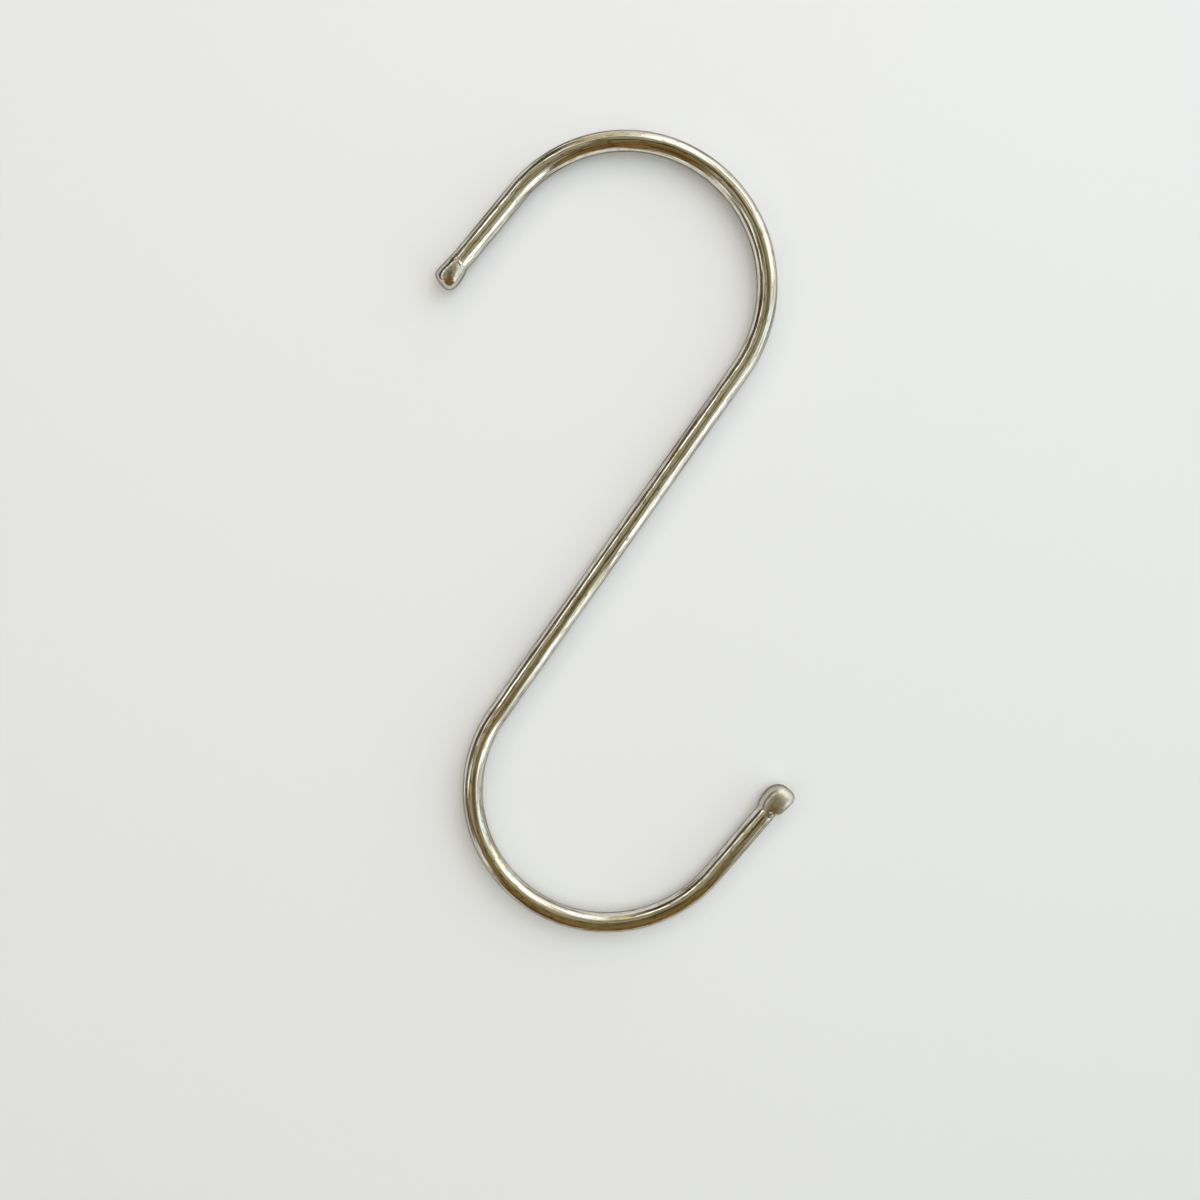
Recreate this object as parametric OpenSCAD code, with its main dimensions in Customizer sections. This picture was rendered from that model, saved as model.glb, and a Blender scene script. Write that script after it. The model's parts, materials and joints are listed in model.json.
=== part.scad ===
// S hook: one length of round steel wire, bent twice in one plane into a flat S.
// The free end of each bend runs straight for a short way and ends in a bead, where the
// cut end of the wire was melted into a blunt drop.
//
// The hook lies flat. X and Y lie in the plane of the wire, Y along the line that the
// hook hangs and pulls along, with the upper bend towards +Y. Z points up from the flat
// side. The origin is under the middle of the shank, level with the lowest point.

/* [Wire] */
// Diameter of the wire
wire_d = 3; // [2:0.1:4.5]

/* [Hook] */
// Length over both bends, along the line of pull
overall_l = 120; // [105:1:200]
// Inside diameter of each bend, which is what it can hang on or hold
bend_inner_d = 38.5; // [25:0.5:44]
// How much further each mouth opens than a half circle would leave it, in degrees
mouth_splay = 5; // [0:1:30]

/* [Upper end] */
// Straight wire between the upper bend and its bead
upper_tail_l = 13.2; // [4:0.1:25]
// Length of the upper bead
upper_bead_l = 4.3; // [3:0.1:8]
// How far the upper bead stands out from the wire, all round
upper_bead_proud = 0.45; // [0.2:0.05:1]
// Rounding where the upper bead swells out of the wire
upper_shoulder_r = 0.7; // [0.2:0.05:1.2]
// Rounding of the blunt tip of the upper bead
upper_tip_r = 0.9; // [0.2:0.05:1.3]

/* [Lower end] */
// Straight wire between the lower bend and its bead
lower_tail_l = 13.1; // [4:0.1:25]
// Length of the lower bead
lower_bead_l = 4.9; // [3:0.1:8]
// How far the lower bead stands out from the wire, all round
lower_bead_proud = 0.8; // [0.2:0.05:1.5]
// Rounding where the lower bead swells out of the wire
lower_shoulder_r = 0.8; // [0.2:0.05:1.2]
// Rounding of the blunt tip of the lower bead
lower_tip_r = 1.2; // [0.2:0.05:1.3]

/* [Hidden] */
$fn = 96;

// Bright steel, a little warm
steel = [0.72, 0.70, 0.65];

wire_r = wire_d / 2;
// Centreline of a bend
bend_r = bend_inner_d / 2 + wire_r;
bend_turn = 180 - mouth_splay;
// The centres of the two bends lie on the line of pull, this far apart
centres_l = overall_l - 2 * (bend_r + wire_r);
// The shank touches both bends, so it leans across the line of pull
half_shank_l = sqrt(pow(centres_l / 2, 2) - pow(bend_r, 2));
shank_lean = asin(2 * bend_r / centres_l);
// The beads are the widest part of the wire, so the larger one sets its height
rest_h = wire_r + max(upper_bead_proud, lower_bead_proud);
// A tail starts this far inside its bend, and this much thicker, so that they always join
lap_l = 0.02;
lap_t = 0.001;

// What a rounding takes off a square corner that lies at the origin and points to +X +Y
module corner_cut(r) {
    translate([-r, -r])
        difference() {
            square(r);
            circle(r = r);
        }
}

// A blunt round drop along +Y, which starts at the origin
module bead(length, radius, shoulder_r, tip_r) {
    rotate([-90, 0, 0])
        rotate_extrude()
            difference() {
                square([radius, length]);
                translate([radius, 0])
                    rotate(-90)
                        corner_cut(shoulder_r);
                translate([radius, length])
                    corner_cut(tip_r);
            }
}

// Half of the hook: from the middle of the shank, round the bend and out to the bead
module arm(tail_l, bead_l, bead_proud, shoulder_r, tip_r) {
    rotate([-90, 0, 0])
        cylinder(h = half_shank_l, r = wire_r);
    translate([-bend_r, half_shank_l, 0]) {
        rotate_extrude(angle = bend_turn)
            translate([bend_r, 0])
                circle(r = wire_r);
        rotate([0, 0, bend_turn])
            translate([bend_r, 0, 0]) {
                translate([0, -lap_l, 0])
                    rotate([-90, 0, 0])
                        cylinder(h = lap_l + tail_l + bead_l / 2, r = wire_r + lap_t);
                translate([0, tail_l, 0])
                    bead(bead_l, wire_r + bead_proud, shoulder_r, tip_r);
            }
    }
}

module hook() {
    color(steel)
        translate([0, 0, rest_h])
            rotate([0, 0, -shank_lean]) {
                arm(upper_tail_l, upper_bead_l, upper_bead_proud,
                    upper_shoulder_r, upper_tip_r);
                rotate([0, 0, 180])
                    arm(lower_tail_l, lower_bead_l, lower_bead_proud,
                        lower_shoulder_r, lower_tip_r);
            }
}

hook();
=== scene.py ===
"""Builds a bent wire S hook with melted bead ends, lying on a pale table in soft light."""

import json
import math

import bmesh
import bpy
import numpy as np
from mathutils import Euler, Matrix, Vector, noise


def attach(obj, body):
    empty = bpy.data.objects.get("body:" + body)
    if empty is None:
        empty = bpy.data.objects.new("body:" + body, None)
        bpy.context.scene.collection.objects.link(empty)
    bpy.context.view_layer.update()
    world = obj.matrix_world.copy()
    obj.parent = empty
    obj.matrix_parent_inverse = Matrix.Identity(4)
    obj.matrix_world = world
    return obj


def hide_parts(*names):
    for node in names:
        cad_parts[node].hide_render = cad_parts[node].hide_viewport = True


bl_info = {
    "name": "Wire S Hook",
    "version": (1, 0, 0),
    "blender": (4, 5, 0),
    "location": "View3D > Sidebar > S Hook",
    "description": "Bends wire into an S hook, melts its ends into beads and lights it on a table",
    "category": "Add Mesh",
}

MM = 0.001

BEND_STEPS = 7  # curve segments round each bend
CURVE_STEPS = 48  # points along each segment, before the rings are spaced
BEAD_STEPS = 110  # mesh rings along each bead
RIPPLE_GAIN = 4.0  # noise strays about a quarter from its middle, and this makes it about one
APRON_H = 0.2 * MM  # how far the dark sheet lies over the table, so that the two don't clash
SENSOR_W = 36.0  # width of the camera's sensor, in millimetres

# The skin of a bead, in millimetres
MELT_EDGE = 0.22  # over this length drawn wire turns into melted metal
RIPPLE_FADE = 0.8  # over this length the drawn ripple dies out
SQUARE_L = 1.5  # over this length past the neck its section grows square
BODY_R = 0.8  # this far from the centreline and further, lumps push outwards and not lengthwise
RIDGE_W = 0.13  # half the width of the raised edge of the melt
LUMP_W = 1.4  # width of the broad lumps
PUCKER_W, PUCKER_H = 0.5, 0.006  # width and height of the fine puckers all over
SPATTER_W, SPATTER_L = 0.3, 0.5  # width of the specks by the neck, and how far they reach from it
SPATTER_SHARE = 0.6  # height of those specks, as a share of the raised edge
BURN_AND_SHADE_R = 0.9  # the radius at which the spot of burnt colour and painted pit shade is as wide as it is long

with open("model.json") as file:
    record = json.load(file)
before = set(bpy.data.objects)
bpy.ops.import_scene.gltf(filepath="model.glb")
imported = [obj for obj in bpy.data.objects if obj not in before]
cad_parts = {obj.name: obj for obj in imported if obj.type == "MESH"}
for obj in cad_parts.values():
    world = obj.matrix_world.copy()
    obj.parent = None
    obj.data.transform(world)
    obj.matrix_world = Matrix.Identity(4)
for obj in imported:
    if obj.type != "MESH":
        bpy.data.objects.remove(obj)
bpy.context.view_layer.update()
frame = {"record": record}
SEAT = {mount["name"]: mount for mount in frame["record"]["mounts"]}["upper_seat"]
WIRE_D = SEAT["dims"]["length_mm"] * MM
BEND_INNER_D = 2 * SEAT["dims"]["r_mm"] * MM
OVERALL_L = 2 * (SEAT["pos_m"][1] + WIRE_D)
WIRE_H = SEAT["pos_m"][2]


# ---------------------------------------------------------------- settings


def length(name, description, default):
    """A property that holds a length, in metres."""
    return bpy.props.FloatProperty(
        name=name, description=description, default=default,
        subtype="DISTANCE", unit="LENGTH", precision=5, min=0.0,
    )


def angle(name, description, degrees):
    """A property that holds an angle, given in degrees and kept in radians."""
    return bpy.props.FloatProperty(
        name=name, description=description, default=math.radians(degrees),
        subtype="ANGLE", unit="ROTATION",
    )


def colour(name, description, default):
    """A property that holds a linear colour."""
    return bpy.props.FloatVectorProperty(
        name=name, description=description, default=default,
        subtype="COLOR", size=3, min=0.0, max=1.0,
    )


class WireSettings(bpy.types.PropertyGroup):
    """Sizes and colours of the bent wire."""

    wire_d: length("Wire", "Diameter of the wire", WIRE_D)
    bend_inner_d: length("Bend", "Inside diameter of each bend", BEND_INNER_D)
    overall_l: length("Length", "Length over both bends, along the line of pull", OVERALL_L)
    wire_h: length("Height", "Height of the wire's centreline over the table", WIRE_H)
    mouth_splay: angle("Splay", "How much wider than a half circle each mouth opens", 5)
    upper_tail: length("Upper tail", "Straight wire before the melted upper end", 11.4 * MM)
    lower_tail: length("Lower tail", "Straight wire before the melted lower end", 12.2 * MM)
    ring_gap: length("Ring gap", "Spacing of the mesh rings along the wire", 0.5 * MM)
    ripple: length("Ripple", "Depth of the long shallow ridges that the die leaves", 0.0035 * MM)
    ripple_w: length("Ripple width", "Width of one ridge, round the wire", 0.9 * MM)
    ripple_l: length("Ripple length", "Length of one ridge, along the wire", 16 * MM)
    steel: colour("Steel", "Colour of the bright wire", (0.84, 0.82, 0.75))
    stain_tint: colour("Stain", "Colour of the stained grooves", (0.20, 0.12, 0.05))
    olive_tint: colour("Olive", "Colour where the stains turn greenish", (0.30, 0.28, 0.09))
    edge_tint: colour("Edge tint", "Tint of the metal seen at a slant", (0.12, 0.105, 0.07))
    stain: bpy.props.FloatProperty(
        name="Staining", description="How strongly the grooves are stained",
        default=0.9, min=0.0, max=1.0,
    )
    groove: length("Groove", "Depth of the fine grooves along the wire", 0.024 * MM)
    bead_grey: colour("Bead grey", "Colour of the melted metal", (0.68, 0.65, 0.56))
    # Burnt colour on the upper bead; on the lower bead this nearly black colour is painted shade in
    # the two pits.
    burn_and_shade_brown: colour("Heat brown", "Colour where the heat has burnt a bead", (0.06, 0.026, 0.012))
    sides: bpy.props.IntProperty(
        name="Sides", description="Mesh points round the wire", default=96, min=12
    )


class StageSettings(bpy.types.PropertyGroup):
    """The table, the light and the camera."""

    table: colour("Table", "Colour of the table top", (0.775, 0.775, 0.765))
    table_w: length("Table width", "Width of the square table top", 1.1)
    far_wall: colour("Far wall", "Colour of the walls that nothing covers", (0.13, 0.11, 0.07))
    apron: colour("Apron", "Colour of the dark sheet that the steel mirrors", (0.20, 0.13, 0.05))
    apron_gap: length("Apron gap", "From the lower bend to the dark sheet", 14 * MM)
    backdrop: colour("Backdrop", "Colour that the camera sees beyond the table", (0.80, 0.80, 0.79))
    daylight: bpy.props.FloatProperty(
        name="Daylight", description="Brightness of all the lamps together", default=1.0, min=0.0,
    )
    focal_l: bpy.props.FloatProperty(
        name="Focal length", description="Focal length of the lens, in millimetres",
        default=39.0, min=1.0,
    )
    eye: bpy.props.FloatVectorProperty(
        name="Eye", description="Where the camera stands, from the middle of the shank",
        default=(-11.46 * MM, 11.92 * MM, 194.05 * MM), subtype="TRANSLATION", unit="LENGTH",
    )
    turn: bpy.props.FloatVectorProperty(
        name="Turn", description="How the camera is turned from looking straight down",
        default=[math.radians(degrees) for degrees in (-6.094, -2.486, 1.894)],
        subtype="EULER", unit="ROTATION",
    )


# ---------------------------------------------------------------- the shape of the hook


class HookShape:
    """Where the hook's centreline runs, worked out from its driving sizes."""

    def __init__(self, wire):
        self.wire_r = wire.wire_d / 2
        self.bend_r = wire.bend_inner_d / 2 + self.wire_r
        self.turn = math.pi - wire.mouth_splay
        centres = wire.overall_l / 2 - self.bend_r - self.wire_r
        self.half_shank = math.sqrt(centres**2 - self.bend_r**2)
        self.lean = math.asin(self.bend_r / centres)
        self.height = wire.wire_h

    def place(self, x, y, half):
        """A point given beside an upright shank, turned onto the line of pull; half is 1 or -1."""
        c, s = math.cos(self.lean), math.sin(self.lean)
        return Vector((half * (c * x + s * y), half * (c * y - s * x), self.height))

    def on_bend(self, t, half):
        """The point that is turned t radians round a bend, and the wire's direction there."""
        x = self.bend_r * (math.cos(t) - 1)
        y = self.half_shank + self.bend_r * math.sin(t)
        origin = self.place(0, 0, half)
        along = self.place(-math.sin(t), math.cos(t), half) - origin
        return self.place(x, y, half), along

    def tail(self, half):
        """Start, direction and outward side of the straight tail after a bend."""
        start, along = self.on_bend(self.turn, half)
        return start, along, along.cross(Vector((0, 0, 1)))


def bezier_point(spline, index, at, along, back, ahead):
    """Sets one point of a spline, with its two handles along the wire."""
    point = spline.bezier_points[index]
    point.handle_left_type = point.handle_right_type = "FREE"
    point.co = at
    point.handle_left = at - along * back
    point.handle_right = at + along * ahead


def centreline(shape, tails):
    """A curve from the lower tail, round both bends, to the upper tail."""
    swing = shape.turn / BEND_STEPS
    handle = 4 / 3 * math.tan(swing / 4) * shape.bend_r
    stops = []
    for half, tail in zip((1, -1), tails):
        for i in range(BEND_STEPS + 1):
            at, along = shape.on_bend(i * swing, half)
            straight = 2 * shape.half_shank if i == 0 else tail
            near = straight / 3 if i == 0 else handle
            far = straight / 3 if i == BEND_STEPS else handle
            stops.append((half, at, along, near, far))
        start, along, _ = shape.tail(half)
        stops.append((half, start + along * tail, along, tail / 3, tail / 3))
    upper = [stop[1:] for stop in stops if stop[0] == 1]
    lower = [(at, -along, far, near) for half, at, along, near, far in stops if half == -1]
    curve = bpy.data.curves.new("hook_centreline", "CURVE")
    curve.dimensions = "3D"
    curve.resolution_u = CURVE_STEPS
    spline = curve.splines.new("BEZIER")
    route = lower[::-1] + upper
    spline.bezier_points.add(len(route) - 1)
    for i, stop in enumerate(route):
        bezier_point(spline, i, *stop)
    return bpy.data.objects.new("hook_centreline", curve)


# ---------------------------------------------------------------- the drawn wire, by Geometry Nodes


class Tree:
    """A short way to write a node tree: add a node, set its inputs and link it."""

    def __init__(self, nodes_of):
        self.tree = nodes_of
        self.column = 0

    def add(self, kind, inputs=None, **settings):
        """Adds a node; an input may be a value or another node's output socket."""
        node = self.tree.nodes.new(kind)
        self.column += 1
        node.location = (180 * self.column, -60 * (self.column % 5))
        for name, value in settings.items():
            setattr(node, name, value)
        for key, value in (inputs or {}).items():
            socket = node.inputs[key]
            if isinstance(value, bpy.types.NodeSocket):
                self.tree.links.new(value, socket)
            else:
                socket.default_value = value
        return node

    def maths(self, operation, *values):
        """A Math node's result."""
        return self.add("ShaderNodeMath", dict(enumerate(values)), operation=operation).outputs[0]

    def blend(self, mask, under, over):
        """Goes from one colour to another as the mask goes from 0 to 1."""
        inputs = {0: mask, 6: under, 7: over}
        return self.add("ShaderNodeMix", inputs, data_type="RGBA").outputs[2]


def wire_tree():
    """Geometry Nodes that sweep a round section along a curve and ripple it like drawn wire."""
    tree = bpy.data.node_groups.new("drawn_wire", "GeometryNodeTree")
    for name, kind in (
        ("Centreline", "NodeSocketGeometry"),
        ("Wire Radius", "NodeSocketFloat"),
        ("Ring Gap", "NodeSocketFloat"),
        ("Sides", "NodeSocketInt"),
        ("Ripple Depth", "NodeSocketFloat"),
        ("Ripple Width", "NodeSocketFloat"),
        ("Ripple Length", "NodeSocketFloat"),
        ("Finish", "NodeSocketMaterial"),
    ):
        tree.interface.new_socket(name, in_out="INPUT", socket_type=kind)
    tree.interface.new_socket("Wire", in_out="OUTPUT", socket_type="NodeSocketGeometry")
    t = Tree(tree)
    given = t.add("NodeGroupInput").outputs
    rings = t.add(
        "GeometryNodeResampleCurve",
        {"Curve": given["Centreline"], "Length": given["Ring Gap"]}, mode="LENGTH",
    )
    upright = t.add("GeometryNodeSetCurveNormal", {"Curve": rings.outputs[0]}, mode="Z_UP")
    far = t.add("GeometryNodeSplineParameter").outputs
    kept = t.add("GeometryNodeCaptureAttribute", {"Geometry": upright.outputs[0]}, domain="POINT")
    kept.capture_items.new("FLOAT", "Far")
    tree.links.new(far["Length"], kept.inputs["Far"])
    section = t.add(
        "GeometryNodeCurvePrimitiveCircle",
        {"Resolution": given["Sides"], "Radius": given["Wire Radius"]}, mode="RADIUS",
    )
    around = t.add("GeometryNodeCaptureAttribute", {"Geometry": section.outputs[0]}, domain="POINT")
    around.capture_items.new("VECTOR", "Side")
    tree.links.new(t.add("GeometryNodeInputPosition").outputs[0], around.inputs["Side"])
    sweep = t.add(
        "GeometryNodeCurveToMesh",
        {"Curve": kept.outputs["Geometry"], "Profile Curve": around.outputs["Geometry"]},
    )
    side = t.add("ShaderNodeSeparateXYZ", {0: around.outputs["Side"]}).outputs
    place = t.add("ShaderNodeCombineXYZ", {0: side[0], 1: side[1], 2: kept.outputs["Far"]})
    stored = t.add(
        "GeometryNodeStoreNamedAttribute",
        {"Geometry": sweep.outputs[0], "Name": "drawn", "Value": place.outputs[0]},
        data_type="FLOAT_VECTOR", domain="POINT",
    )
    across = t.add("ShaderNodeCombineXYZ", {0: side[0], 1: side[1]})
    across = t.add(
        "ShaderNodeVectorMath",
        {0: across.outputs[0], "Scale": t.maths("DIVIDE", 1.0, given["Ripple Width"])},
        operation="SCALE",
    )
    lengthwise = t.maths("DIVIDE", kept.outputs["Far"], given["Ripple Length"])
    lengthwise = t.add("ShaderNodeCombineXYZ", {2: lengthwise})
    ridges = t.add(
        "ShaderNodeVectorMath", {0: across.outputs[0], 1: lengthwise.outputs[0]}, operation="ADD"
    )
    wave = t.add("ShaderNodeTexNoise", {"Vector": ridges.outputs[0], "Scale": 1.0, "Detail": 2.0})
    lift = t.maths("MULTIPLY", t.maths("SUBTRACT", wave.outputs[0], 0.5), given["Ripple Depth"])
    lift = t.maths("MULTIPLY", lift, RIPPLE_GAIN)
    out = t.add("GeometryNodeInputNormal").outputs[0]
    push = t.add("ShaderNodeVectorMath", {0: out, "Scale": lift}, operation="SCALE")
    rippled = t.add(
        "GeometryNodeSetPosition", {"Geometry": stored.outputs[0], "Offset": push.outputs[0]}
    )
    real = t.add("GeometryNodeRealizeInstances", {"Geometry": rippled.outputs[0]})
    finished = t.add(
        "GeometryNodeSetMaterial", {"Geometry": real.outputs[0], "Material": given["Finish"]}
    )
    t.add("NodeGroupOutput", {"Wire": finished.outputs[0]})
    return tree


def set_input(modifier, name, value):
    """Sets a Geometry Nodes input through the identifier of its socket."""
    for item in modifier.node_group.interface.items_tree:
        if item.item_type == "SOCKET" and item.in_out == "INPUT" and item.name == name:
            modifier[item.identifier] = value
            return
    raise KeyError(f"the tree {modifier.node_group.name} has no input {name}")


def swept_wire(path, shape, wire, finish):
    """The rings of the drawn wire, from the lower tail to the upper: an array of ring, point, XYZ."""
    bpy.context.collection.objects.link(path)
    modifier = path.modifiers.new("Drawn wire", "NODES")
    modifier.node_group = wire_tree()
    for name, value in (
        ("Wire Radius", shape.wire_r),
        ("Ring Gap", wire.ring_gap),
        ("Sides", wire.sides),
        ("Ripple Depth", wire.ripple),
        ("Ripple Width", wire.ripple_w),
        ("Ripple Length", wire.ripple_l),
        ("Finish", finish),
    ):
        set_input(modifier, name, value)
    graph = bpy.context.evaluated_depsgraph_get()
    mesh = bpy.data.meshes.new_from_object(path.evaluated_get(graph))
    count = len(mesh.vertices)
    points = np.empty(3 * count)
    mesh.vertices.foreach_get("co", points)
    drawn = np.empty(3 * count)
    mesh.attributes["drawn"].data.foreach_get("vector", drawn)
    bpy.data.meshes.remove(mesh)
    curve = path.data
    bpy.data.objects.remove(path)
    bpy.data.curves.remove(curve)
    return points.reshape(-1, wire.sides, 3), drawn.reshape(-1, wire.sides, 3)


# ---------------------------------------------------------------- the melted beads


def smooth(x):
    """Eases from 0 to 1 as x goes from 0 to 1."""
    x = np.clip(x, 0, 1)
    return x * x * (3 - 2 * x)


def rounded(stations, passes=3):
    """A row of (place, radius) stations with its corners cut off, so that it runs smoothly."""
    line = np.array(stations, dtype=float)
    for _ in range(passes):
        quarter = 0.75 * line[:-1] + 0.25 * line[1:]
        three_quarters = 0.25 * line[:-1] + 0.75 * line[1:]
        inside = np.stack((quarter, three_quarters), 1).reshape(-1, 2)
        line = np.concatenate((line[:1], inside, line[-1:]))
    return line


def off_by(a, direction):
    """How far each angle is from a direction given in degrees: an angle between -pi and pi."""
    return np.radians((np.degrees(a) - direction + 180) % 360 - 180)


class Bead:
    """
    The shape of one melted end, in millimetres. The outer, top, inner and under side are rows of
    stations: how far along the tail, and how far out from its centreline. A direction round the
    tail is in degrees: 0 is its outer side, 90 its top and 180 its inner side.

    The melt begins at neck, a row of (direction, place), with a raised edge as high as ridge. Past
    it the section turns from round, a squareness of 2, to the bead's own squareness. Lump is the
    height of its broad lumps, and seed picks their noise. Dents are (place, direction, depth,
    size). The dark spot, (direction, place, size, strength), is burnt colour, and on the lower bead
    it is also painted shade in the two pits. Satin is the roughness of the skin.
    """

    dents = ()

    def neck_at(self, a):
        """Where the melt begins on each side of the wire, a little unevenly."""
        sides, places = zip(*self.neck)
        place = np.interp(np.degrees(a), sides, places, period=360)
        return place + 0.07 * np.sin(5 * a + self.seed) + 0.05 * np.sin(11 * a + 2 * self.seed)

    def skin(self, a, steps):
        """How far along and how far out the skin lies: an array for each step from wire to tip."""
        sides = [rounded(side) for side in (self.outer, self.top, self.inner, self.under)]
        rows = np.linspace(0, len(sides[0]) - 1, steps)
        outer, top, inner, under = (
            np.stack([np.interp(rows, np.arange(len(side)), side[:, k]) for k in (0, 1)])
            for side in sides
        )
        c, s = np.cos(a), np.sin(a)
        for i in range(1, steps):
            level = np.where(c > 0, outer[1, i], inner[1, i])
            upright = np.where(s > 0, top[1, i], under[1, i])
            place = np.where(c > 0, outer[0, i], inner[0, i]) * c**2
            place = place + np.where(s > 0, top[0, i], under[0, i]) * s**2
            power = 2 + (self.squareness - 2) * smooth((place - self.neck_at(a)) / SQUARE_L)
            flat = np.abs(c / not_nothing(level)) ** power
            steep = np.abs(s / not_nothing(upright)) ** power
            yield place, (flat + steep) ** (-1 / power)

    def relief(self, place, a):
        """The raised edge of the melt and the small dents, as a height over the skin."""
        past_neck = place - self.neck_at(a)
        broken = 0.6 + 0.5 * np.sin(9 * a + 14 * past_neck + self.seed)
        edge = self.ridge * broken * np.exp(-((past_neck / RIDGE_W) ** 2))
        for along, side, depth, size in self.dents:
            beside = off_by(a, side) * WIRE_D / MM / 2
            edge = edge - depth * np.exp(-((place - along) ** 2 + beside**2) / size**2)
        return edge


class UpperBead(Bead):
    """A blunt end that swells slowly on its outer side and in a short step on its inner side."""

    outer = ((11.4, 1.50), (12.8, 1.51), (13.7, 1.60), (14.8, 1.66), (15.8, 1.72), (16.5, 1.70),
             (16.95, 1.46), (17.16, 0.95), (17.28, 0.45), (17.34, 0.03))
    top = ((11.4, 1.50), (12.9, 1.50), (13.3, 1.62), (14.2, 1.80), (15.0, 1.92), (15.9, 1.90),
           (16.8, 1.62), (17.22, 1.05), (17.34, 0.50), (17.34, 0.03))
    inner = ((11.4, 1.50), (13.66, 1.46), (13.84, 1.68), (14.4, 1.78), (15.2, 1.88), (16.1, 1.93),
             (16.9, 1.74), (17.36, 1.25), (17.46, 0.70), (17.34, 0.03))
    under = ((11.4, 1.50), (13.1, 1.50), (13.6, 1.62), (14.4, 1.76), (15.2, 1.85), (16.2, 1.82),
             (16.9, 1.52), (17.25, 0.98), (17.36, 0.50), (17.34, 0.03))
    neck = ((0, 12.5), (48, 12.7), (90, 13.15), (127, 13.60), (180, 13.75), (270, 13.2))
    squareness = 2.15
    ridge = 0.06
    seed = 3.7
    lump = 0.04
    heat = (115.0, 16.2, 1.0, 0.50)
    satin = 0.17


class LowerBead(Bead):
    """Larger and squarer, with a lip over two small pits on its outer side."""

    outer = ((12.2, 1.50), (13.45, 1.44), (13.84, 1.38), (13.92, 1.80), (14.6, 1.90), (15.4, 2.02),
             (16.4, 2.12), (17.2, 2.04), (17.66, 1.62), (17.84, 0.90), (17.82, 0.03))
    top = ((12.2, 1.50), (12.9, 1.50), (13.2, 1.62), (13.7, 1.78), (14.3, 1.88), (15.2, 1.92),
           (16.15, 1.85), (16.95, 1.60), (17.52, 1.12), (17.78, 0.58), (17.82, 0.03))
    inner = ((12.2, 1.50), (12.8, 1.52), (13.15, 1.72), (13.6, 1.92), (14.5, 2.04), (15.5, 2.08),
             (16.3, 1.92), (17.0, 1.50), (17.48, 1.00), (17.74, 0.52), (17.82, 0.03))
    under = ((12.2, 1.50), (12.9, 1.50), (13.2, 1.62), (13.8, 1.86), (14.5, 2.14), (15.3, 2.29),
             (16.2, 2.24), (17.0, 1.86), (17.56, 1.16), (17.80, 0.60), (17.82, 0.03))
    neck = ((0, 13.3), (60, 12.9), (90, 12.9), (180, 12.8), (270, 13.0))
    squareness = 2.8
    ridge = 0.02
    dents = ((13.50, 84.0, 0.30, 0.18), (13.46, 62.0, 0.34, 0.20))
    seed = 11.3
    lump = 0.03
    # A nearly black spot over the two pits: burnt metal, and painted shade in the pits.
    heat = (72.0, 13.48, 0.38, 1.0)
    satin = 0.34


def not_nothing(radius):
    """A radius that is never quite nothing, so that it can divide."""
    return np.maximum(radius, 1e-4)


def lumps(points, seed, size):
    """Smooth noise between about -1 and 1 at each point, in lumps of the given size."""
    offset = Vector((seed, -seed, 2 * seed))
    return np.array([noise.noise(Vector(p) / size + offset) for p in points])


def bead_rings(bead, shape, half, last_ring, tail):
    """The rings of a bead, from the end of the drawn wire to the tip, with their attributes."""
    start, along, outward = (np.array(v) for v in shape.tail(half))
    up = np.array((0.0, 0.0, 1.0))
    local = last_ring - start
    a = np.arctan2(local @ up, local @ outward)
    ripple = (np.hypot(local @ up, local @ outward) - shape.wire_r) / MM
    spot_side, spot_at, spot_size, spot_strength = bead.heat
    rings = {"points": [], "drawn": [], "melt": [], "heat": [], "satin": []}
    for far, reach in bead.skin(a, BEAD_STEPS):
        past_neck = far - bead.neck_at(a)
        molten = smooth(past_neck / MELT_EDGE + 0.5)
        body = smooth(reach / BODY_R)
        faded = ripple * smooth(1 - (far - tail / MM) / RIPPLE_FADE)
        radius = reach + (faded + bead.relief(far, a)) * body
        where = np.stack((radius * np.cos(a), radius * np.sin(a), far), 1)
        specks = SPATTER_SHARE * bead.ridge * np.exp(-((past_neck / SPATTER_L) ** 2))
        bumps = lumps(where, bead.seed, LUMP_W) * bead.lump
        bumps = bumps + lumps(where, bead.seed + 20, PUCKER_W) * PUCKER_H
        bumps = bumps + lumps(where, bead.seed + 40, SPATTER_W) * specks
        radius = radius + bumps * molten * body
        far = far + bumps * molten * (1 - body)
        out, high = radius * np.cos(a), radius * np.sin(a)
        reached = np.outer(far, along) + np.outer(out, outward) + np.outer(high, up)
        # The dark spot: burnt colour, and over the lower bead's pits painted shade.
        beside = off_by(a, spot_side) * BURN_AND_SHADE_R
        spot = np.exp(-((far - spot_at) ** 2 + beside**2 * body) / spot_size**2)
        rings["points"].append(start + MM * reached)
        rings["drawn"].append(MM * np.stack((out, high, far), 1))
        rings["melt"].append(molten)
        rings["heat"].append(spot_strength * spot)
        rings["satin"].append(np.full(len(a), bead.satin))
    return {name: np.array(values) for name, values in rings.items()}


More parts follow.
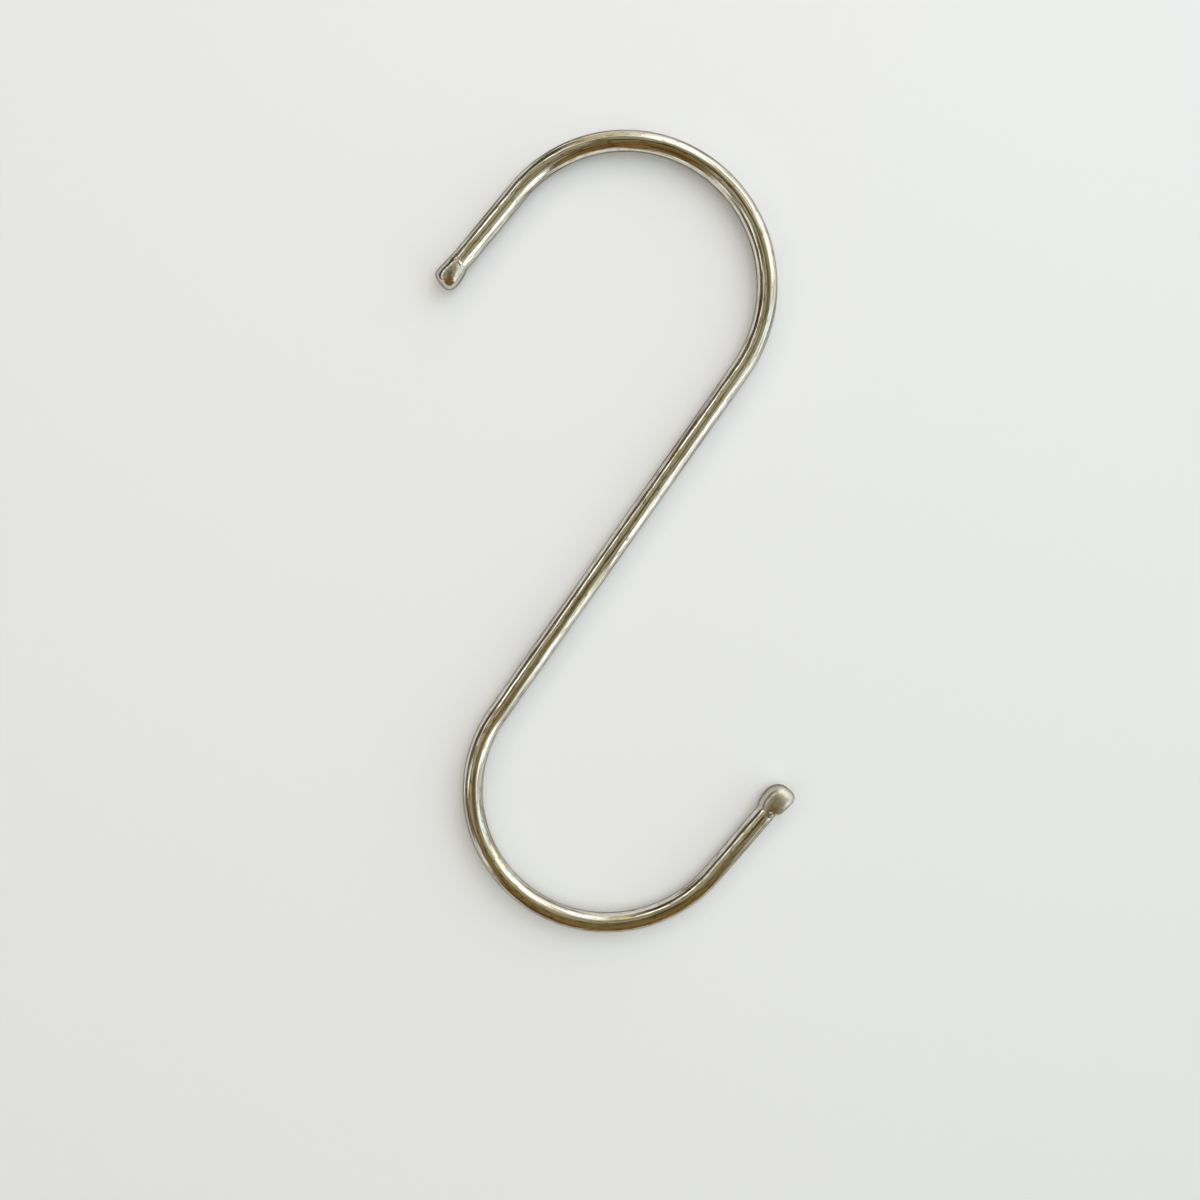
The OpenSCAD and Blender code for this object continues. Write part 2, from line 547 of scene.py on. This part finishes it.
def closed_tube(name, rings, first_tip, last_tip):
    """A closed mesh from rings of points, with a fan of triangles at each tip."""
    count, sides = rings.shape[:2]
    points = np.concatenate((rings.reshape(-1, 3), [first_tip, last_tip]))
    i, j = np.meshgrid(np.arange(count - 1), np.arange(sides), indexing="ij")
    k = (j + 1) % sides
    quads = np.stack((i * sides + j, i * sides + k, (i + 1) * sides + k, (i + 1) * sides + j), -1)
    faces = quads.reshape(-1, 4).tolist()
    ends = count * sides
    last = (count - 1) * sides
    for j in range(sides):
        k = (j + 1) % sides
        faces.append((k, j, ends))
        faces.append((last + j, last + k, ends + 1))
    mesh = bpy.data.meshes.new(name)
    mesh.from_pydata(points.tolist(), [], faces)
    work = bmesh.new()
    work.from_mesh(mesh)
    bmesh.ops.recalc_face_normals(work, faces=work.faces)
    loose = [edge for edge in work.edges if len(edge.link_faces) != 2]
    work.to_mesh(mesh)
    work.free()
    if loose:
        raise RuntimeError(f"{name} isn't closed: {len(loose)} open edges")
    mesh.polygons.foreach_set("use_smooth", [True] * len(mesh.polygons))
    return mesh


def store(mesh, name, kind, values, first, last):
    """Stores one value for each point of a closed tube; first and last are those of its two tips."""
    data = mesh.attributes.new(name, kind, "POINT").data
    tips = np.array((first, last)).reshape(2, -1)
    values = np.concatenate((values.reshape(len(data) - 2, -1), tips))
    data.foreach_set("vector" if kind == "FLOAT_VECTOR" else "value", values.ravel())


# ---------------------------------------------------------------- finishes


def new_material(name):
    """An empty node material and its Tree."""
    material = bpy.data.materials.new(name)
    material.use_nodes = True
    material.node_tree.nodes.clear()
    return material, Tree(material.node_tree)


def steel_finish(wire):
    """Drawn steel with fine lengthwise grooves and stains, and smooth skin where an end was melted."""
    material, t = new_material("bright_drawn_steel")
    drawn = t.add("ShaderNodeAttribute", attribute_name="drawn").outputs["Vector"]
    melt = t.add("ShaderNodeAttribute", attribute_name="melt").outputs["Fac"]
    heat = t.add("ShaderNodeAttribute", attribute_name="heat").outputs["Fac"]
    satin = t.add("ShaderNodeAttribute", attribute_name="satin").outputs["Fac"]
    object_at = t.add("ShaderNodeTexCoord").outputs["Object"]

    def streaks(across, along, detail, shift=0.0):
        """Noise drawn out along the wire; across and along are in millimetres."""
        scale = (1 / (across * MM), 1 / (across * MM), 1 / (along * MM))
        mapping = {"Vector": drawn, "Scale": scale, "Location": (shift,) * 3}
        stretched = t.add("ShaderNodeMapping", mapping).outputs[0]
        inputs = {"Vector": stretched, "Scale": 1.0, "Detail": detail}
        return t.add("ShaderNodeTexNoise", inputs).outputs[0]

    def mottle(size, detail):
        """Even noise in lumps of the given size, in millimetres."""
        inputs = {"Vector": object_at, "Scale": 1 / (size * MM), "Detail": detail}
        return t.add("ShaderNodeTexNoise", inputs).outputs[0]

    def spread(value, low, high, begin=0.3, end=0.7):
        """Goes from low to high while the value goes from begin to end."""
        edges = {"Value": value, "From Min": begin, "From Max": end, "To Min": low, "To Max": high}
        return t.add("ShaderNodeMapRange", edges).outputs[0]

    def between(on_wire, on_bead):
        """One number on the drawn wire and another on melted metal."""
        inputs = {0: melt, 2: on_wire, 3: on_bead}
        return t.add("ShaderNodeMix", inputs, data_type="FLOAT").outputs[0]

    grooves = streaks(0.20, 9, 2.0)
    scratches = streaks(0.12, 2.5, 2.0, shift=5.0)
    broad = streaks(1.0, 11, 2.0, shift=9.0)
    flecks = streaks(0.24, 1.6, 2.0, shift=13.0)
    cloud = mottle(0.7, 2.0)
    grain = mottle(0.3, 3.0)

    stain = t.maths(
        "MULTIPLY", spread(grooves, 0.0, 1.0, 0.46, 0.60), spread(broad, 0.3, 1.0, 0.4, 0.6)
    )
    fleck = t.maths("MULTIPLY", spread(flecks, 0.0, 1.0, 0.54, 0.66), 0.8)
    stain = t.maths("MULTIPLY", t.maths("MAXIMUM", stain, fleck), wire.stain)
    browner = spread(broad, 0.0, 1.0, 0.42, 0.58)
    tint = t.blend(browner, (*wire.olive_tint, 1), (*wire.stain_tint, 1))
    bright = t.blend(stain, (*wire.steel, 1), tint)
    shaded_grey = [part * 0.7 for part in wire.bead_grey]
    dull = t.blend(spread(cloud, 0.0, 0.7), (*wire.bead_grey, 1), (*shaded_grey, 1))
    # Burnt colour mottled by grain; over the lower bead's pits it is painted shade.
    burn_and_shade_mask = t.maths("MULTIPLY", heat, spread(grain, 0.7, 1.0))
    warm = t.blend(burn_and_shade_mask, dull, (*wire.burn_and_shade_brown, 1))
    skin = t.blend(melt, bright, warm)

    soft = t.maths("MULTIPLY", satin, spread(grain, 0.8, 1.15))
    burnt = t.maths("MULTIPLY", t.maths("MULTIPLY", heat, heat), 0.35)
    roughness = between(spread(scratches, 0.05, 0.12), t.maths("ADD", soft, burnt))
    grooved = t.maths("ADD", t.maths("MULTIPLY", grooves, 0.7), t.maths("MULTIPLY", scratches, 0.3))
    pitted = t.maths("ADD", t.maths("MULTIPLY", cloud, 1.2), t.maths("MULTIPLY", grain, 0.8))
    relief = {"Strength": 1.0, "Distance": wire.groove, "Height": between(grooved, pitted)}
    bump = t.add("ShaderNodeBump", relief)
    shader = t.add(
        "ShaderNodeBsdfPrincipled",
        {"Base Color": skin, "Metallic": 1.0, "Roughness": roughness, "Normal": bump.outputs[0]},
    )
    shader.inputs["Specular Tint"].default_value = (*wire.edge_tint, 1)
    t.add("ShaderNodeOutputMaterial", {"Surface": shader.outputs[0]})
    return material


def matt_finish(name, tint):
    """A plain matt surface, for the table and the sheet beside it."""
    material, t = new_material(name)
    shader = t.add("ShaderNodeBsdfPrincipled", {"Base Color": (*tint, 1), "Roughness": 0.9})
    shader.inputs["Specular IOR Level"].default_value = 0.1
    t.add("ShaderNodeOutputMaterial", {"Surface": shader.outputs[0]})
    return material


# ---------------------------------------------------------------- operators


class SHOOK_OT_bend_hook(bpy.types.Operator):
    """Draws the wire, bends it into the S and melts a bead on each end, as one closed piece"""

    bl_idname = "s_hook.bend_hook"
    bl_label = "Bend the hook"

    def execute(self, context):
        wire = context.scene.s_hook_wire
        shape = HookShape(wire)
        finish = steel_finish(wire)
        path = centreline(shape, (wire.upper_tail, wire.lower_tail))
        rings, drawn = swept_wire(path, shape, wire, finish)
        upper = bead_rings(UpperBead(), shape, 1, rings[-1], wire.upper_tail)
        lower = bead_rings(LowerBead(), shape, -1, rings[0], wire.lower_tail)

        def whole(name, middle):
            """What a name stands for, ring by ring from end to end, and at the two tips."""
            values = np.concatenate((lower[name][::-1], middle, upper[name]))
            return values, lower[name][-1].mean(0), upper[name][-1].mean(0)

        tube = closed_tube("s_hook", *whole("points", rings))
        store(tube, "drawn", "FLOAT_VECTOR", *whole("drawn", drawn))
        for name in ("melt", "heat", "satin"):
            store(tube, name, "FLOAT", *whole(name, np.zeros(rings.shape[:2])))
        hook = bpy.data.objects.new("bent_wire_hook", tube)
        context.collection.objects.link(hook)
        tube.materials.append(finish)
        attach(hook, "root")
        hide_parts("hook")
        return {"FINISHED"}


# ---------------------------------------------------------------- the stage


def toward(azimuth, zenith):
    """A direction: azimuth from +X towards +Y, and the angle down from straight up, in degrees."""
    a, z = math.radians(azimuth), math.radians(zenith)
    return Vector((math.cos(a) * math.sin(z), math.sin(a) * math.sin(z), math.cos(z)))


# The lamps that light the table: azimuth and zenith in degrees, distance from the hook and size in
# metres, linear colour, and how bright the lamp is at the hook.
LAMPS = (
    ("overhead_light", 0, 5, 1.3, 0.9, (0.88, 1.0, 1.0), 0.80),
    ("cool_lamp", 45, 40, 0.45, 0.35, (0.50, 0.76, 1.0), 0.80),
    ("warm_lamp", 90, 40, 0.45, 0.35, (1.0, 0.70, 0.70), 0.57),
    ("back_light", 225, 35, 1.3, 0.9, (0.66, 0.72, 1.0), 0.32),
)


def soft_light(name, azimuth, zenith, distance, size, tint, brightness):
    """A square light that shines on the hook from the given angles; the steel doesn't mirror it."""
    data = bpy.data.lights.new(name, "AREA")
    data.shape = "SQUARE"
    data.size = size
    data.color = tint
    data.energy = brightness * math.pi * distance**2
    light = bpy.data.objects.new(name, data)
    way = toward(azimuth, zenith)
    light.location = way * distance
    light.rotation_euler = way.to_track_quat("Z", "Y").to_euler()
    light.visible_camera = False
    light.visible_glossy = False
    bpy.context.collection.objects.link(light)


ALL_ROUND = (-180, 180)

# What the steel mirrors: azimuth and zenith where each part begins and ends, how soft its edges are
# in azimuth and in zenith (all in degrees), and its linear colour. Later parts cover earlier ones.
# An azimuth that ends at 180 goes on at -180.
ROOM = (
    ("ceiling", ALL_ROUND, (-20, 40), (1, 5), (0.37, 0.34, 0.23)),
    ("ceiling_middle", ALL_ROUND, (-20, 9), (1, 7), (0.09, 0.06, 0.02)),
    ("row_of_lamps", (90, 180), (44, 54), (6, 4), (1.95, 1.90, 1.80)),
    ("row_of_lamps", (-180, -151), (46, 60), (10, 4), (1.45, 1.40, 1.30)),
    ("tall_lamp", (-144, -122), (58, 86), (9, 7), (1.05, 0.98, 0.95)),
    ("dark_door", (108, 126), (62, 92), (6, 6), (0.07, 0.06, 0.03)),
    ("window_wall", (2, 106), (46, 120), (10, 9), (0.66, 0.56, 0.36)),
    ("warm_window", (11, 84), (38, 88), (9, 9), (1.55, 1.54, 1.48)),
    ("cool_window", (-44, -2), (44, 95), (4, 9), (1.45, 1.54, 1.62)),
    ("window_gap", (-24, 6), (40, 92), (5, 9), (1.00, 1.10, 1.14)),
    ("near_wall", (-129, -50), (9, 140), (7, 5), (0.20, 0.13, 0.048)),
)


def room(stage):
    """A dim warm room all round, which the camera sees as a plain pale backdrop."""
    world = bpy.data.worlds.new("dim_room")
    world.use_nodes = True
    world.node_tree.nodes.clear()
    t = Tree(world.node_tree)
    way = t.add("ShaderNodeTexCoord").outputs["Generated"]
    parts = t.add("ShaderNodeSeparateXYZ", {0: way}).outputs
    zenith = t.maths("ARCCOSINE", parts["Z"])
    azimuth = t.maths("ARCTAN2", parts["Y"], parts["X"])

    def step(value, at, soft):
        """Rises from 0 to 1 where an angle passes a place, both in degrees."""
        edges = {
            "Value": value,
            "From Min": math.radians(at - soft),
            "From Max": math.radians(at + soft),
        }
        return t.add("ShaderNodeMapRange", edges, interpolation_type="SMOOTHSTEP").outputs[0]

    def band(value, ends, soft):
        """1 between two angles and 0 outside them; an end at half a turn has no edge."""
        low = step(value, ends[0], soft) if ends[0] > ALL_ROUND[0] else 1.0
        high = step(value, ends[1], soft) if ends[1] < ALL_ROUND[1] else 0.0
        return t.maths("SUBTRACT", low, high)

    seen = (*stage.far_wall, 1)
    for _, across, down, soft, shade in ROOM:
        mask = band(zenith, down, soft[1])
        if across != ALL_ROUND:
            mask = t.maths("MULTIPLY", mask, band(azimuth, across, soft[0]))
        seen = t.blend(mask, seen, (*shade, 1))
    camera = t.add("ShaderNodeLightPath").outputs["Is Camera Ray"]
    shown = t.blend(camera, seen, (*stage.backdrop, 1))
    light = t.add("ShaderNodeBackground", {"Color": shown, "Strength": 1.0})
    t.add("ShaderNodeOutputWorld", {"Surface": light.outputs[0]})
    return world


def flat_sheet(name, low, high, height, finish):
    """A level rectangle between two corners."""
    (left, near), (right, far) = low, high
    corners = [(x, y, height) for x, y in ((left, near), (right, near), (right, far), (left, far))]
    mesh = bpy.data.meshes.new(name)
    mesh.from_pydata(corners, [], [(0, 1, 2, 3)])
    mesh.materials.append(finish)
    sheet = bpy.data.objects.new(name, mesh)
    bpy.context.collection.objects.link(sheet)
    return sheet


class SHOOK_OT_set_stage(bpy.types.Operator):
    """Lays the table and sets the lamps, the room that the steel mirrors and the camera"""

    bl_idname = "s_hook.set_stage"
    bl_label = "Set the stage"

    def execute(self, context):
        stage = context.scene.s_hook_stage
        half = stage.table_w / 2
        finish = matt_finish("matt_table", stage.table)
        table = flat_sheet("table_top", (-half, -half), (half, half), 0, finish)

        for *place, tint, brightness in LAMPS:
            soft_light(*place, tint, brightness * stage.daylight)
        context.scene.world = room(stage)

        front = -OVERALL_L / 2 - stage.apron_gap
        finish = matt_finish("matt_apron", stage.apron)
        sheet = flat_sheet("dark_apron", (-half, -half), (half, front), APRON_H, finish)
        for ray in ("camera", "diffuse", "transmission", "shadow"):
            setattr(sheet, f"visible_{ray}", False)

        lens = bpy.data.cameras.new("overhead_camera")
        lens.lens = stage.focal_l
        lens.sensor_width = SENSOR_W
        lens.clip_start = 0.01
        camera = bpy.data.objects.new("overhead_camera", lens)
        camera.location = Vector(stage.eye) + Vector((0, 0, context.scene.s_hook_wire.wire_h))
        camera.rotation_euler = Euler(stage.turn, "XYZ")
        context.collection.objects.link(camera)
        context.scene.camera = camera
        context.scene.view_settings.view_transform = "Standard"
        return {"FINISHED"}


class SHOOK_PT_sidebar(bpy.types.Panel):
    """The hook's sizes and colours, and the buttons that build it"""

    bl_idname = "SHOOK_PT_sidebar"
    bl_label = "S Hook"
    bl_space_type = "VIEW_3D"
    bl_region_type = "UI"
    bl_category = "S Hook"

    def draw(self, context):
        layout = self.layout
        for settings, operator in (
            (context.scene.s_hook_wire, SHOOK_OT_bend_hook),
            (context.scene.s_hook_stage, SHOOK_OT_set_stage),
        ):
            box = layout.box()
            for name in settings.__annotations__:
                box.prop(settings, name)
            box.operator(operator.bl_idname)


CLASSES = (WireSettings, StageSettings, SHOOK_OT_bend_hook, SHOOK_OT_set_stage, SHOOK_PT_sidebar)


def register():
    """Registers the classes and hangs the settings on the scene."""
    for cls in CLASSES:
        bpy.utils.register_class(cls)
    bpy.types.Scene.s_hook_wire = bpy.props.PointerProperty(type=WireSettings)
    bpy.types.Scene.s_hook_stage = bpy.props.PointerProperty(type=StageSettings)


def unregister():
    """Takes back what register() did."""
    del bpy.types.Scene.s_hook_stage
    del bpy.types.Scene.s_hook_wire
    for cls in reversed(CLASSES):
        bpy.utils.unregister_class(cls)


def main():
    """Builds the hook and its stage."""
    register()
    bpy.ops.s_hook.bend_hook()
    bpy.ops.s_hook.set_stage()


if __name__ == "__main__":
    main()
